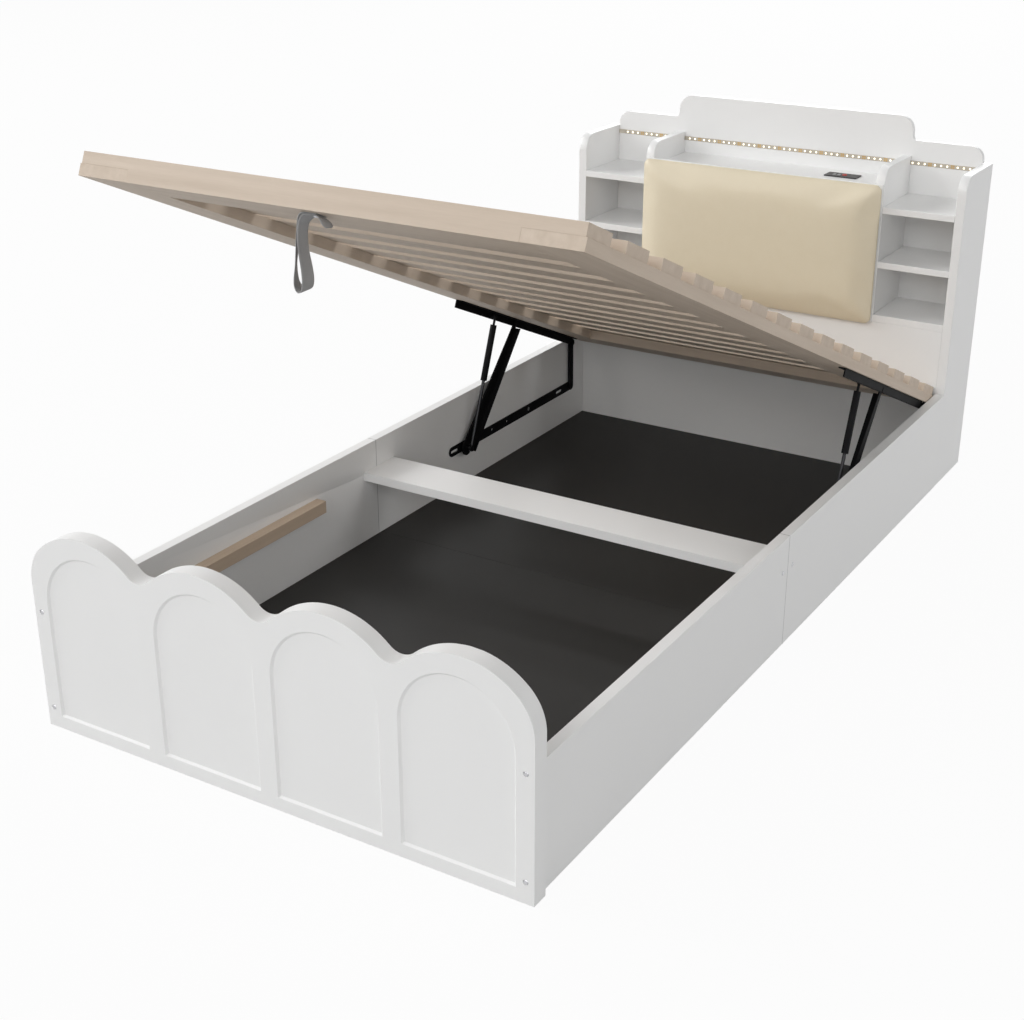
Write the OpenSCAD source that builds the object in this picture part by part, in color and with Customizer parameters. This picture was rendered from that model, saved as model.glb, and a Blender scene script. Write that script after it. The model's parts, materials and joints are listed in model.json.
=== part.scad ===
// Ottoman bed: a storage box with an arched footboard, a shelf headboard with a
// padded panel and light strip, and a slatted platform that lifts at the foot end.
// Units are millimetres. X runs across the bed, Y from the foot to the head, Z up.
// Modules draw with y = 0 at the front face of the footboard. in_frame() then puts
// the origin on the floor in the middle of the bed's length. Platform modules draw
// flat, with y = 0 at the foot edge and z = 0 at the underside of the rails, and
// on_platform() tips them up into the raised position.

/* [Bed box] */
// Length over all, footboard face to headboard back
bed_length = 2187; // [2183:1:2195]
// Width over the side panels
box_width = 1042; // [1042:1:1046]
// Thickness of side panels, headboard sides and partitions
board_thickness = 22; // [20:1:22]
// Height of the side panels
side_height = 245; // [238:1:260]
// Distance from the footboard face to the joint in the side panels
side_joint_y = 1011; // [1000:1:1030]
// Thickness of the floor boards
floor_thickness = 11; // [8:1:14]
// Height of the ledgers' and the beam's top faces, on which the platform comes to rest
rest_height = 180; // [176:1:184]
// Width of the cross beam
beam_width = 116; // [100:1:130]
// Thickness of the cross beam
beam_thickness = 20; // [16:1:20]
// Distance that the beam reaches forward of the joint in the side panels
beam_lap = 48; // [40:1:58]
// Width of the ledger strips
ledger_width = 25; // [20:1:30]
// Height of the ledger strips
ledger_height = 28; // [22:1:34]
// Distance from the footboard face to the head end of the ledgers
ledger_end_y = 787; // [600:1:850]

/* [Footboard] */
// Amount by which the footboard passes the side panels at each side
footboard_overhang = 9; // [4:0.5:14]
// Thickness of the footboard
footboard_thickness = 35; // [32:1:35]
// Height of the arch crests
arch_crest = 410; // [400:1:420]
// Radius of the arch crowns
crown_radius = 165; // [158:1:172]
// Amount by which the radius of the outermost crowns passes half the arch spacing
outer_crown_extra = 17.5; // [14:0.5:22]
// Height where the outer corners turn vertical
shoulder_height = 300; // [295:1:306]
// Radius of the fillets between the arches
valley_radius = 35; // [25:1:45]
// Distance between two neighbouring recesses
recess_gap = 37.5; // [32:0.5:44]
// Distance from the outermost recesses to the footboard's side edges
recess_margin = 33.75; // [28:0.25:40]
// Height of the recess above the floor
recess_bottom = 26; // [20:1:34]
// Height of the crown of a recess
recess_top = 373; // [366:1:378]
// Depth of the recesses
recess_depth = 4; // [2:0.5:6]
// Width of the bevel round a recess
recess_bevel = 4; // [2:0.5:6]

/* [Headboard] */
// Depth of the headboard from its front edges to its back
headboard_depth = 198; // [194:1:198]
// Height of the headboard sides and partitions
headboard_side_height = 783; // [770:1:800]
// Radius of their top front corners
side_corner_radius = 40; // [20:1:60]
// Thickness of the back panel
back_thickness = 15; // [12:1:18]
// Height of the back panel's shoulders
back_shoulder_height = 821; // [805:1:835]
// Height of the back panel's raised middle
back_crest_height = 879; // [870:1:900]
// Half width of the raised middle
back_crest_half = 320; // [300:1:340]
// Radius of the outer top corners of the back panel
back_corner_radius = 32; // [20:1:40]
// Radius of the corners of the raised middle
crest_corner_radius = 38; // [20:1:44]
// Radius of the fillets below the raised middle
crest_fillet_radius = 11; // [6:1:16]
// Distance from the middle to the inner face of a partition
partition_x = 299.5; // [290:0.5:310]
// Thickness of the shelves
shelf_thickness = 16; // [14:1:18]
// Height of the upper side shelves' top faces
upper_shelf_top = 690; // [670:1:700]
// Height of the middle side shelves' top faces
middle_shelf_top = 555; // [540:1:570]
// Height of the bottom shelf's top face
bottom_shelf_top = 421; // [415:1:430]
// Height of the centre shelf's top face
centre_shelf_top = 729; // [720:1:740]
// Thickness of the lower front panel of the headboard
head_wall_thickness = 15; // [12:1:18]

/* [Cushion] */
// Amount by which the cushion stops short of the partitions' outer faces
cushion_inset = 1.5; // [0:0.5:10]
// Height of the cushion
cushion_height = 345; // [335:1:350]
// Height of the cushion's lower edge
cushion_bottom = 400; // [396:1:404]
// Thickness of the cushion at its rolled edge
cushion_edge = 20; // [14:1:24]
// Extra thickness at the crown of the cushion
cushion_crown = 14; // [6:1:20]
// Radius of the cushion's corners seen from the front
cushion_corner = 14; // [8:1:24]
// Thickness of the board behind the cushion
cushion_board_thickness = 6; // [4:1:9]

/* [Light strip and power unit] */
// Height of the light strip
strip_height = 10; // [8:1:12]
// Height of the strip's middle above the floor
strip_z = 766.3; // [762:0.1:770]
// Thickness of the strip
strip_thickness = 1.6; // [1.2:0.2:2.2]
// Distance from one group of three lamps to the next
lamp_pitch = 57; // [56:0.5:57]
// Distance between the lamps of a group
lamp_spacing = 15.4; // [14:0.1:16]
// Side of one lamp
lamp_size = 5; // [4:0.5:6]
// Width of the power unit's top plate
power_width = 84; // [80:1:90]
// Depth of the power unit's top plate
power_depth = 41; // [38:1:46]
// Distance from the middle of the bed to the plate's near edge
power_x = 131; // [120:1:140]
// Distance from the headboard front to the plate's front edge
power_y = 91; // [80:1:100]
// Diameter of the power button
button_diameter = 12; // [10:0.5:13]
// Travel of the power button
button_travel = 1.5; // [1:0.1:1.8]

/* [Platform] */
// Gap between the platform and a side panel
platform_side_gap = 2; // [1.5:0.5:4]
// Gap between the footboard and the lowered platform
foot_gap = 5.5; // [5:0.1:6]
// Gap between the lowered platform and the headboard
head_gap = 4.5; // [4:0.5:8]
// Gap between the lowered platform and what it rests on
rest_gap = 0.5; // [0.3:0.1:1]
// Thickness of the rails under the slats
rail_thickness = 22; // [20:1:23]
// Thickness of the slats
slat_thickness = 21; // [18:1:21]
// Width of the side rails
side_rail_width = 110; // [100:1:120]
// Width of the rail at the foot end
foot_rail_width = 110; // [100:1:120]
// Width of the rail at the head end
head_rail_width = 160; // [140:1:180]
// Number of slats
slat_count = 15; // [13:1:17]
// Width of a slat
slat_width = 80; // [70:1:90]
// Amount by which the slats stop short of the rails at each side
slat_inset = 3; // [2:0.5:6]

/* [Lift] */
// Angle of the raised platform
lift_angle = 23.64; // [23.4:0.02:23.9]
// Distance behind the headboard's front of the axis that the platform's motion turns about
lift_axis_back = 90.32; // [85:0.02:93]
// Height of that axis above the floor
lift_axis_z = 244.32; // [242:0.02:246]
// Distance from the platform's head end to the arms' pivots
arm_pivot_back = 390.5; // [388:0.5:393]
// Distance from the platform's head end to the gas springs' studs
spring_pivot_back = 517; // [515:0.5:519]
// Distance from the platform's head end to the rear links' pivots
link_pivot_back = 56.8; // [55:0.1:58]
// Distance from the headboard to the arms' feet
arm_foot_back = 616.6; // [614:0.1:619]
// Distance from the headboard to the rear links' feet
link_foot_back = 77.3; // [75:0.1:80]
// Width of a rear link
link_width = 24; // [20:1:24]
// Thickness of links, arms and brackets
steel_thickness = 3; // [2.5:0.5:3]
// Width of an arm at its pivot on the platform
arm_tip_width = 15; // [13:1:16]
// Width of an arm at its foot
arm_foot_width = 40; // [30:1:42]
// Length of the bracket under a side rail
bracket_length = 620; // [600:1:626]
// Height of the bracket's upright flange
bracket_depth = 19.5; // [18:0.5:21]
// Width of the base rail on the side panel
base_rail_width = 25; // [22:1:27]
// Diameter of the pivot pins
pin_diameter = 8; // [7:0.5:8.5]
// Radial clearance round a turning pin
pin_clearance = 0.05; // [0.03:0.01:0.08]
// Diameter of a gas spring's cylinder
cylinder_diameter = 16; // [14:1:17]
// Length of a gas spring's cylinder
cylinder_length = 140; // [136:1:144]
// Diameter of a gas spring's rod
rod_diameter = 8; // [7:0.5:8]

/* [Pull strap] */
// Width of the strap
strap_width = 30; // [26:1:34]
// Thickness of the webbing
strap_thickness = 1.6; // [1.2:0.1:1.8]
// Distance from the foot edge of the platform to the strap's middle
strap_along = 36; // [30:1:50]

/* [Hidden] */
$fn = 48;

white = "white";
timber = [0.80, 0.75, 0.68];
tan_wood = [0.66, 0.53, 0.42];
charcoal = [0.16, 0.15, 0.15];
black_steel = [0.08, 0.08, 0.09];
zinc = [0.75, 0.76, 0.78];

// Clearance of the loose floor boards at their edges
side_gap = 0.5;
inner_half = box_width/2 - board_thickness;
head_y = bed_length - headboard_depth;
back_y = bed_length - back_thickness;
partition_outer = partition_x + board_thickness;
platform_width = 2*(inner_half - platform_side_gap);
platform_length = head_y - footboard_thickness - foot_gap - head_gap;
platform_top = rail_thickness + slat_thickness;

// Steel layers across the right-hand mechanism, measured from the middle of the bed
base_rail_x = inner_half - steel_thickness;
link_gap = 0.5;
bracket_gap = 1.5;
arm_gap = 1;
spring_gap = 3.2;
bracket_flange = 14;
link_x = base_rail_x - link_gap - steel_thickness;
bracket_x = link_x - bracket_gap - steel_thickness;
arm_x = bracket_x - arm_gap - steel_thickness;
spring_x = arm_x - spring_gap - cylinder_diameter/2;
bracket_inner_x = bracket_x - bracket_flange;

// Bracket and pivots on the platform, along from the foot edge and below the rails
bracket_end_gap = 62;
arm_pivot_drop = 12;
outer_pivot_drop = 13;
bracket_start = platform_length - bracket_length - bracket_end_gap;
arm_pivot = [platform_length - arm_pivot_back, -arm_pivot_drop];
spring_pivot = [platform_length - spring_pivot_back, -outer_pivot_drop];
link_pivot = [platform_length - link_pivot_back, -outer_pivot_drop];

// Feet of the arm and the rear link on the base rail, as [y, z] in the raised position
base_rail_z = 109.5;
arm_foot = [head_y - arm_foot_back, base_rail_z - 1];
link_foot = [head_y - link_foot_back, base_rail_z + 0.5];

// Base rail: how far it runs past the two feet, and its slots and holes from its ends
rail_past_arm = 48.9;
rail_past_link = 3.2;
first_slot = 9.5;
last_slot = 57;
first_rail_screw = 102.5;
last_rail_screw = 218.5;
open_hole_places = [185.5, 257.5];
base_rail_ends = [arm_foot[0] - rail_past_arm, link_foot[0] - rail_past_link];
rail_slots = [base_rail_ends[0] + first_slot, base_rail_ends[1] - last_slot];
rail_screw_ys = [base_rail_ends[0] + first_rail_screw, base_rail_ends[1] - last_rail_screw];
rail_open_holes = [for (place = open_hole_places) base_rail_ends[0] + place];

// The lower foot edge of the platform as [y, z], lowered onto the ledgers and raised
lift_axis = [head_y + lift_axis_back, lift_axis_z];
closed_edge = [footboard_thickness + foot_gap, rest_height + rest_gap];
open_edge = lift_axis + tipped(closed_edge - lift_axis);

// A vector tipped up with the platform, a point of the raised platform as [y, z],
// and the length and heading of a link between two such points
function tipped(v) = [v[0]*cos(lift_angle) + v[1]*sin(lift_angle),
                      v[1]*cos(lift_angle) - v[0]*sin(lift_angle)];
function raised(p) = open_edge + tipped(p);
function reach(a, b) = norm(b - a);
function heading(a, b) = atan2(b[1] - a[1], b[0] - a[0]);

arm_top = raised(arm_pivot);
spring_top = raised(spring_pivot);
link_top = raised(link_pivot);

module in_frame() {
    translate([0, -bed_length/2, 0])
        children();
}

module on_platform() {
    in_frame()
        translate([0, open_edge[0], open_edge[1]])
            rotate([-lift_angle, 0, 0])
                children();
}

// Draws along +Y from a [y, z] point, turned to a heading in the YZ plane
module along(point, angle) {
    translate([0, point[0], point[1]])
        rotate([angle, 0, 0])
            children();
}

module left_side() {
    mirror([1, 0, 0])
        children();
}

module block(x, y, z) {
    translate([x[0], y[0], z[0]])
        cube([x[1] - x[0], y[1] - y[0], z[1] - z[0]]);
}

// Extrudes a YZ outline across X from x_start
module plate(x_start, thickness) {
    translate([x_start, 0, 0])
        rotate([90, 0, 90])
            linear_extrude(thickness)
                children();
}

// A cylinder along X at a [y, z] point, from one x to another
module x_pin(point, radius, x) {
    translate([x[0], point[0], point[1]])
        rotate([0, 90, 0])
            cylinder(r = radius, h = x[1] - x[0]);
}

// Footboard

footboard_width = box_width + 2*footboard_overhang;
arch_pitch = footboard_width/4;
half_pitch = arch_pitch/2;
recess_width = (footboard_width - 2*recess_margin - 3*recess_gap)/4;
recess_pitch = recess_width + recess_gap;
outer_crown_radius = half_pitch + outer_crown_extra;
crown_z = arch_crest - crown_radius;
outer_crown_z = arch_crest - outer_crown_radius;
// Radius of the outer corner that meets both the crown and the vertical side
shoulder_radius = (pow(outer_crown_radius, 2) - pow(half_pitch, 2)
                   - pow(outer_crown_z - shoulder_height, 2))
                  / (2*(outer_crown_radius - half_pitch));
shoulder_x = half_pitch - shoulder_radius;
shoulder_angle = atan2(shoulder_height - outer_crown_z, shoulder_x);
// Amount by which neighbouring parts of the outline run into each other
overlap = 20;

module crown(centre_x, clip) {
    intersection() {
        translate([centre_x, crown_z])
            circle(crown_radius, $fn = 96);
        translate([clip[0], 0])
            square([clip[1] - clip[0], arch_crest + 1]);
    }
}

function arc_point(centre, radius, angle) = centre + radius*[cos(angle), sin(angle)];

// From just left of the crest, over the outer crown and the shoulder, down to the floor
module outer_corner(crest_x) {
    steps = 16;
    start_angle = 95;
    crown_arc = [for (i = [0:steps])
        arc_point([0, outer_crown_z], outer_crown_radius,
                  start_angle + (shoulder_angle - start_angle)*i/steps)];
    shoulder_arc = [for (i = [1:steps])
        arc_point([shoulder_x, shoulder_height], shoulder_radius,
                  shoulder_angle*(1 - i/steps))];
    translate([crest_x, 0])
        polygon(concat([[-overlap, 0], [-overlap, outer_crown_z]],
                       crown_arc, shoulder_arc, [[half_pitch, 0]]));
}

// The two offsets leave the crests alone and fill the valleys with a fillet
module footboard_outline() {
    crest = 1.5*arch_pitch;
    reach_x = half_pitch + overlap;
    offset(r = -valley_radius, $fn = 96)
        offset(delta = valley_radius) {
            translate([-crest, 0])
                square([2*crest, shoulder_height]);
            for (i = [-1.5:1:1.5])
                crown(i*arch_pitch, [max(-crest, i*arch_pitch - reach_x),
                                     min(crest, i*arch_pitch + reach_x)]);
            outer_corner(crest);
            mirror([1, 0])
                outer_corner(crest);
        }
}

// Arched recess outline, drawn in by an amount on every side
module recess_outline(inset) {
    half = recess_width/2 - inset;
    spring = recess_top - recess_width/2;
    translate([-half, recess_bottom + inset])
        square([2*half, spring - recess_bottom - inset]);
    translate([0, spring])
        circle(half, $fn = 96);
}

module recess() {
    hull() {
        translate([0, -0.01, 0])
            rotate([90, 0, 0])
                linear_extrude(0.5)
                    recess_outline(0);
        translate([0, recess_depth, 0])
            rotate([90, 0, 0])
                linear_extrude(0.5)
                    recess_outline(recess_bevel);
    }
}

footboard_screw_x = box_width/2 - 7;
footboard_screw_zs = [41, side_height - 5];
footboard_screw_reach = 24;
screw_head = 2;

module footboard() {
    color(white)
        in_frame()
            difference() {
                translate([0, footboard_thickness, 0])
                    rotate([90, 0, 0])
                        linear_extrude(footboard_thickness)
                            footboard_outline();
                for (i = [-1.5:1:1.5])
                    translate([i*recess_pitch, 0, 0])
                        recess();
                for (side = [-1, 1], z = footboard_screw_zs)
                    translate([side*footboard_screw_x, -1, z])
                        rotate([-90, 0, 0]) {
                            cylinder(d = 5, h = footboard_thickness + 2);
                            cylinder(d = 10, h = screw_head + 1);
                        }
            }
}

module footboard_screws() {
    color(zinc)
        in_frame()
            for (side = [-1, 1], z = footboard_screw_zs)
                translate([side*footboard_screw_x, 0, z])
                    rotate([-90, 0, 0]) {
                        cylinder(r1 = 3.2, r2 = 5, h = screw_head);
                        cylinder(d = 5, h = footboard_thickness);
                        cylinder(d = 4, h = footboard_thickness + footboard_screw_reach);
                    }
}

// Bed box

beam_top = rest_height;
beam_y = side_joint_y - beam_lap;
beam_screw_offset = 25;
beam_screw_ys = [side_joint_y - beam_screw_offset, side_joint_y + beam_screw_offset];
beam_screw_z = beam_top - 8;
beam_screw_length = 50;
beam_screw_tip = box_width/2 - beam_screw_length;

module screw_holes_in_side() {
    for (y = beam_screw_ys)
        x_pin([y, beam_screw_z], 2.5, [inner_half - 1, box_width/2 + 1]);
}

module side_panel_front() {
    in_frame()
        difference() {
            block([inner_half, box_width/2], [footboard_thickness, side_joint_y],
                  [0, side_height]);
            screw_holes_in_side();
            for (z = footboard_screw_zs)
                translate([footboard_screw_x, footboard_thickness - 1, z])
                    rotate([-90, 0, 0])
                        cylinder(d = 4, h = footboard_screw_reach + 2);
        }
}

module side_panel_rear() {
    in_frame()
        difference() {
            block([inner_half, box_width/2], [side_joint_y, head_y], [0, side_height]);
            screw_holes_in_side();
        }
}

module side_panel_front_right() {
    color(white)
        side_panel_front();
}

module side_panel_front_left() {
    color(white)
        left_side()
            side_panel_front();
}

module side_panel_rear_right() {
    color(white)
        side_panel_rear();
}

module side_panel_rear_left() {
    color(white)
        left_side()
            side_panel_rear();
}

module cross_beam() {
    color(white)
        in_frame()
            difference() {
                block([-inner_half, inner_half], [beam_y, beam_y + beam_width],
                      [beam_top - beam_thickness, beam_top]);
                for (side = [0, 1], y = beam_screw_ys)
                    mirror([side, 0, 0])
                        x_pin([y, beam_screw_z], 2, [beam_screw_tip - 1, inner_half + 1]);
            }
}

module beam_screws() {
    color(zinc)
        in_frame()
            for (side = [0, 1], y = beam_screw_ys)
                mirror([side, 0, 0]) {
                    x_pin([y, beam_screw_z], 2, [beam_screw_tip, box_width/2]);
                    x_pin([y, beam_screw_z], 2.5, [inner_half, box_width/2]);
                    x_pin([y, beam_screw_z], 4.5, [box_width/2, box_width/2 + 1.4]);
                }
}

module floor_board(y) {
    color(charcoal)
        in_frame()
            block([-inner_half + side_gap, inner_half - side_gap], y, [0, floor_thickness]);
}

floor_split_y = beam_y + beam_width/2;

module floor_board_front() {
    floor_board([footboard_thickness, floor_split_y - side_gap]);
}

module floor_board_rear() {
    floor_board([floor_split_y, head_y]);
}

module ledger() {
    in_frame()
        block([inner_half - ledger_width, inner_half], [footboard_thickness, ledger_end_y],
              [rest_height - ledger_height, rest_height]);
}

module ledger_right() {
    color(tan_wood)
        ledger();
}

module ledger_left() {
    color(tan_wood)
        left_side()
            ledger();
}

// Headboard

bottom_shelf_thickness = 18;

// Upright board with a rounded top front corner, drawn as a YZ outline
module upright_outline(depth, bottom) {
    radius = side_corner_radius;
    top = headboard_side_height;
    translate([0, bottom])
        square([depth, top - radius - bottom]);
    translate([radius, bottom])
        square([depth - radius, top - bottom]);
    translate([radius, top - radius])
        circle(radius, $fn = 96);
}

module headboard_side() {
    in_frame()
        translate([0, head_y, 0])
            plate(inner_half, board_thickness)
                upright_outline(headboard_depth, 0);
}

module headboard_side_right() {
    color(white)
        headboard_side();
}

module headboard_side_left() {
    color(white)
        left_side()
            headboard_side();
}

// The partition has a shallow notch at the back where the light strip passes
module partition() {
    in_frame()
        difference() {
            translate([0, head_y, 0])
                plate(partition_x, board_thickness)
                    upright_outline(headboard_depth - back_thickness, bottom_shelf_top);
            block([partition_x - 1, partition_outer + 1], [back_y - 4, back_y + 1],
                  [strip_z - strip_height/2 - 1, strip_z + strip_height/2 + 1]);
        }
}

module partition_right() {
    color(white)
        partition();
}

module partition_left() {
    color(white)
        left_side()
            partition();
}

module back_outline() {
    half = inner_half;
    low = back_shoulder_height;
    high = back_crest_height;
    square([half - back_corner_radius, low]);
    square([half, low - back_corner_radius]);
    translate([half - back_corner_radius, low - back_corner_radius])
        circle(back_corner_radius, $fn = 96);
    square([back_crest_half - crest_corner_radius, high]);
    square([back_crest_half, high - crest_corner_radius]);
    translate([back_crest_half - crest_corner_radius, high - crest_corner_radius])
        circle(crest_corner_radius, $fn = 96);
    difference() {
        translate([back_crest_half, low])
            square(crest_fillet_radius);
        translate([back_crest_half + crest_fillet_radius, low + crest_fillet_radius])
            circle(crest_fillet_radius, $fn = 96);
    }
}

module back_panel() {
    color(white)
        in_frame()
            translate([0, bed_length, 0])
                rotate([90, 0, 0])
                    linear_extrude(back_thickness) {
                        back_outline();
                        mirror([1, 0])
                            back_outline();
                    }
}

module head_wall() {
    color(white)
        in_frame()
            block([-inner_half, inner_half], [head_y, head_y + head_wall_thickness],
                  [0, bottom_shelf_top - bottom_shelf_thickness]);
}

module bottom_shelf() {
    color(white)
        in_frame()
            block([-inner_half, inner_half], [head_y, back_y],
                  [bottom_shelf_top - bottom_shelf_thickness, bottom_shelf_top]);
}

module side_shelf(top) {
    in_frame()
        block([partition_outer, inner_half], [head_y, back_y], [top - shelf_thickness, top]);
}

module upper_shelf_right() {
    color(white)
        side_shelf(upper_shelf_top);
}

module upper_shelf_left() {
    color(white)
        left_side()
            side_shelf(upper_shelf_top);
}

module middle_shelf_right() {
    color(white)
        side_shelf(middle_shelf_top);
}

module middle_shelf_left() {
    color(white)
        left_side()
            side_shelf(middle_shelf_top);
}

// Power unit in a cut-out of the centre shelf

power_plate = 3;
power_body_depth = 24;
power_body_inset = 3;
power_front = head_y + power_y;
button_centre = [power_x + 0.56*power_width, power_front + power_depth/2];
button_length = 9;
button_proud = 2;
port_size = [7, 14.4];
port_length = 15;
port_offsets = [0.24, 0.39];

module power_body_box(gap) {
    block([power_x + power_body_inset - gap, power_x + power_width - power_body_inset + gap],
          [power_front + power_body_inset - gap,
           power_front + power_depth - power_body_inset + gap],
          [centre_shelf_top - power_body_depth, centre_shelf_top]);
}

module centre_shelf() {
    color(white)
        in_frame()
            difference() {
                block([-partition_x, partition_x], [head_y, back_y],
                      [centre_shelf_top - shelf_thickness, centre_shelf_top]);
                translate([0, 0, 1])
                    power_body_box(0.3);
                translate([0, 0, -1])
                    power_body_box(0.3);
            }
}

module port_place(i) {
    translate([power_x + port_offsets[i]*power_width, power_front + power_depth/2,
               centre_shelf_top + power_plate - port_length])
        translate([-port_size[0]/2, -port_size[1]/2, 0])
            children();
}

module power_unit() {
    color(charcoal)
        in_frame()
            difference() {
                union() {
                    block([power_x, power_x + power_width],
                          [power_front, power_front + power_depth],
                          [centre_shelf_top, centre_shelf_top + power_plate]);
                    power_body_box(0);
                }
                for (i = [0, 1])
                    port_place(i)
                        cube([port_size[0], port_size[1], port_length + 1]);
                translate([button_centre[0], button_centre[1],
                           centre_shelf_top + power_plate + button_proud
                           - button_length - button_travel - 0.5])
                    cylinder(d = button_diameter + 0.12, h = 30);
            }
}

module charging_port(i) {
    wall = 0.9;
    tongue = 1.8;
    color([0.55, 0.56, 0.58])
        in_frame()
            port_place(i)
                difference() {
                    cube([port_size[0], port_size[1], port_length]);
                    for (x = [wall, port_size[0]/2 + tongue/2])
                        translate([x, wall, 3])
                            cube([port_size[0]/2 - tongue/2 - wall, port_size[1] - 2*wall,
                                  port_length]);
                }
}

module charging_port_left() {
    charging_port(0);
}

module charging_port_right() {
    charging_port(1);
}

module power_button() {
    color([0.85, 0.15, 0.10])
        in_frame()
            translate([button_centre[0], button_centre[1],
                       centre_shelf_top + power_plate + button_proud - button_length])
                difference() {
                    cylinder(d = button_diameter, h = button_length);
                    translate([0, 0, button_length - 0.6])
                        cylinder(d = button_diameter - 4, h = 1);
                }
}

// One strip runs the whole width, with lamps in groups of three
module light_strip() {
    groups = floor((inner_half - lamp_pitch/2)/lamp_pitch);
    lamp_height = 1.2;
    color([0.93, 0.88, 0.76])
        in_frame() {
            block([-inner_half + 1, inner_half - 1], [back_y - strip_thickness, back_y],
                  [strip_z - strip_height/2, strip_z + strip_height/2]);
            for (g = [-groups:1:groups], k = [-1:1:1])
                if (abs(abs(g*lamp_pitch + lamp_spacing*k) - partition_x - board_thickness/2)
                    > board_thickness/2 + lamp_size)
                    translate([g*lamp_pitch + lamp_spacing*k - lamp_size/2,
                               back_y - strip_thickness - lamp_height,
                               strip_z - lamp_size/2])
                        cube([lamp_size, lamp_height + 0.5, lamp_size]);
        }
}

// Cushion: rings of a rounded rectangle, rolled over at the rim and crowned in front

cushion_width = 2*(partition_outer - cushion_inset);
corner_steps = 6;
roll_steps = 5;
crown_insets = [26, 42, 64, 96, 140];

function rounded_ring(half_w, half_h, r, depth) = [
    for (c = [0:3], i = [0:corner_steps])
        let (a = 90*c + 90*i/corner_steps,
             cx = (c == 0 || c == 3) ? half_w - r : r - half_w,
             cz = c < 2 ? half_h - r : r - half_h)
        [cx + r*cos(a), depth, cz + r*sin(a)]
];

function cushion_ring(inset, depth) =
    rounded_ring(cushion_width/2 - inset, cushion_height/2 - inset,
                 cushion_corner + 0.25*inset, depth);

function crown_depth(inset) = cushion_edge + cushion_crown*(1 - exp(-inset/45));

roll = cushion_edge*0.75;
cushion_rings = concat(
    [cushion_ring(3, 0), cushion_ring(0.6, 3)],
    [for (i = [0:roll_steps])
        let (a = 90*i/roll_steps)
        cushion_ring(roll*(1 - cos(a)), cushion_edge - roll + roll*sin(a)*1.1)],
    [for (inset = crown_insets) cushion_ring(inset, crown_depth(inset))]
);

module cushion() {
    count = 4*(corner_steps + 1);
    last = len(cushion_rings) - 1;
    points = [for (ring = cushion_rings) each ring];
    bottom = [for (i = [0:count - 1]) i];
    top = [for (i = [count - 1:-1:0]) last*count + i];
    sides = [for (k = [0:last - 1], i = [0:count - 1])
        let (j = (i + 1) % count)
        [k*count + j, k*count + i, (k + 1)*count + i, (k + 1)*count + j]];
    color([0.84, 0.79, 0.67])
        in_frame()
            translate([0, head_y - cushion_board_thickness, cushion_bottom + cushion_height/2])
                mirror([0, 1, 0])
                    polyhedron(points, concat([top], [bottom], sides));
}

module cushion_board() {
    color(white)
        in_frame()
            translate([0, head_y, cushion_bottom + cushion_height/2])
                rotate([90, 0, 0])
                    linear_extrude(cushion_board_thickness)
                        square([cushion_width - 1, cushion_height - 1], center = true);
}

// Platform

module platform_rail() {
    on_platform()
        block([platform_width/2 - side_rail_width, platform_width/2],
              [0, platform_length], [0, rail_thickness]);
}

module platform_rail_right() {
    color(timber)
        platform_rail();
}

module platform_rail_left() {
    color(timber)
        left_side()
            platform_rail();
}

module end_rail(start, width) {
    half = platform_width/2 - side_rail_width;
    color(timber)
        on_platform()
            block([-half, half], [start, start + width], [0, rail_thickness]);
}

module foot_rail() {
    difference() {
        end_rail(0, foot_rail_width);
        on_platform()
            translate([strap_screw_x, strap_along, -1])
                cylinder(d = 3, h = 17);
    }
}

module head_rail() {
    end_rail(platform_length - head_rail_width, head_rail_width);
}

slat_half = platform_width/2 - slat_inset;
slat_pitch = (platform_length - slat_width)/(slat_count - 1);
slat_screw_x = platform_width/2 - side_rail_width/2;

module slats() {
    color(timber)
        on_platform()
            difference() {
                for (i = [0:slat_count - 1])
                    block([-slat_half, slat_half],
                          [i*slat_pitch, i*slat_pitch + slat_width],
                          [rail_thickness, platform_top]);
                slat_screw_places()
                    cylinder(d = 4, h = 50);
            }
}

module slat_screw_places() {
    for (side = [-1, 1], i = [0:slat_count - 1])
        translate([side*slat_screw_x, i*slat_pitch + slat_width/2, rail_thickness])
            children();
}

module slat_screws() {
    color(zinc)
        on_platform()
            slat_screw_places() {
                cylinder(d = 4, h = slat_thickness);
                translate([0, 0, slat_thickness])
                    cylinder(r1 = 4, r2 = 3.2, h = 1);
            }
}

// Lift brackets, pins and studs

module lift_bracket() {
    on_platform()
        difference() {
            union() {
                block([bracket_x, bracket_x + steel_thickness],
                      [bracket_start, bracket_start + bracket_length], [-bracket_depth, 0]);
                block([bracket_inner_x, bracket_x + 1],
                      [bracket_start, bracket_start + bracket_length], [-2.5, 0]);
                x_pin(link_pivot, 9.5, [bracket_x, bracket_x + steel_thickness]);
            }
            for (pivot = [arm_pivot, link_pivot, spring_pivot])
                x_pin(pivot, pin_diameter/2, [bracket_x - 1, bracket_x + steel_thickness + 1]);
        }
}

module lift_bracket_right() {
    color(black_steel)
        lift_bracket();
}

module lift_bracket_left() {
    color(black_steel)
        left_side()
            lift_bracket();
}

module on_both_sides() {
    children();
    left_side()
        children();
}

head_radius = 7;

module arm_pins() {
    color(black_steel)
        on_both_sides()
            on_platform() {
                x_pin(arm_pivot, pin_diameter/2,
                      [arm_x - 0.1, bracket_x + steel_thickness]);
                x_pin(arm_pivot, head_radius - 1, [arm_x - 2.2, arm_x - 0.1]);
                x_pin(arm_pivot, head_radius - 1, [bracket_x + steel_thickness,
                                                   bracket_x + steel_thickness + 1]);
            }
}

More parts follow.
